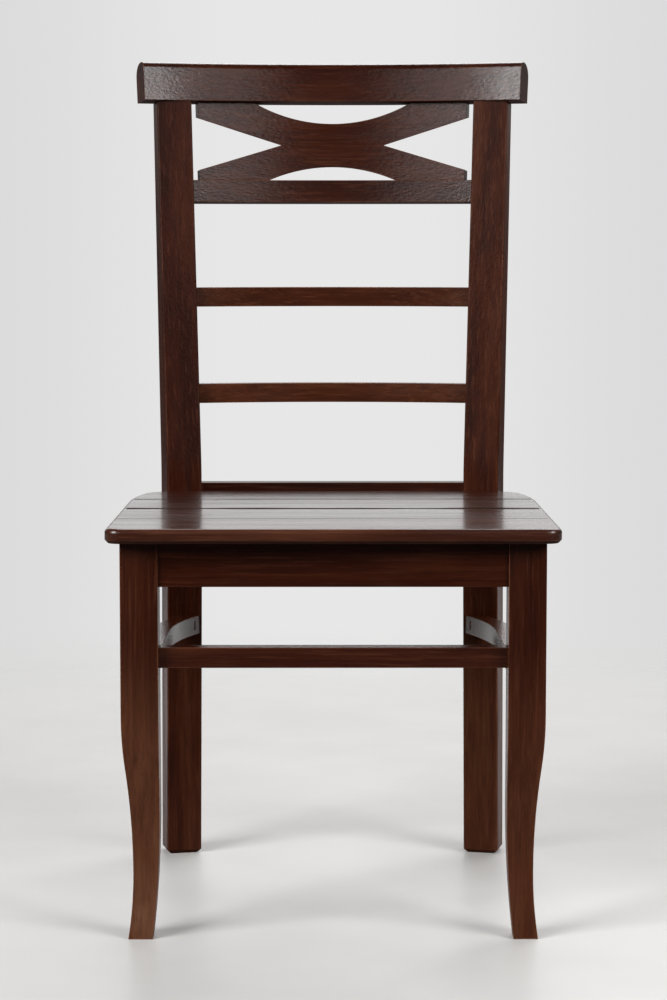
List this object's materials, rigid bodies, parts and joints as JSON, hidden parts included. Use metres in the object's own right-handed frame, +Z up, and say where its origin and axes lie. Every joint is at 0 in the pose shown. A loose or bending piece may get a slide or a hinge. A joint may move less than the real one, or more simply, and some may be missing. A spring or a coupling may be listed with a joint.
{
  "type": "cross back dining chair",
  "caption": "Dark stained wooden dining chair with a bowed crest, a cross splat over curved slats, a glued board seat, curved front legs and stretchers.",
  "frame": {"origin": "on the floor under the middle of the chair's overall box", "axes": "+Z up, -Y towards the front of the chair where a sitter's knees are, +X towards the right side as seen from the front"},
  "size_m": [0.486, 0.5456, 0.9667],
  "materials": {
    "stained_wood": "gloss",
    "dowel_wood": "matte",
    "screw_steel": "satin"
  },
  "bodies": {
    "root": {"seat_board_front": "stained_wood", "seat_board_second": "stained_wood", "seat_board_third": "stained_wood", "seat_board_rear": "stained_wood", "front_apron": "stained_wood", "left_apron": "stained_wood", "right_apron": "stained_wood", "rear_rail": "stained_wood", "front_leg_left": "stained_wood", "front_leg_right": "stained_wood", "rear_post_left": "stained_wood", "rear_post_right": "stained_wood", "crest_rail": "stained_wood", "cross_rail": "stained_wood", "cross_splat": "stained_wood", "upper_slat": "stained_wood", "lower_slat": "stained_wood", "front_stretcher": "stained_wood", "side_stretcher_left": "stained_wood", "side_stretcher_right": "stained_wood", "corner_block_front_left": "stained_wood", "corner_block_front_right": "stained_wood", "corner_block_rear_left": "stained_wood", "corner_block_rear_right": "stained_wood", "crest_dowels": "dowel_wood", "splat_dowels": "dowel_wood", "seat_screws": "screw_steel"}
  },
  "joints": []
}
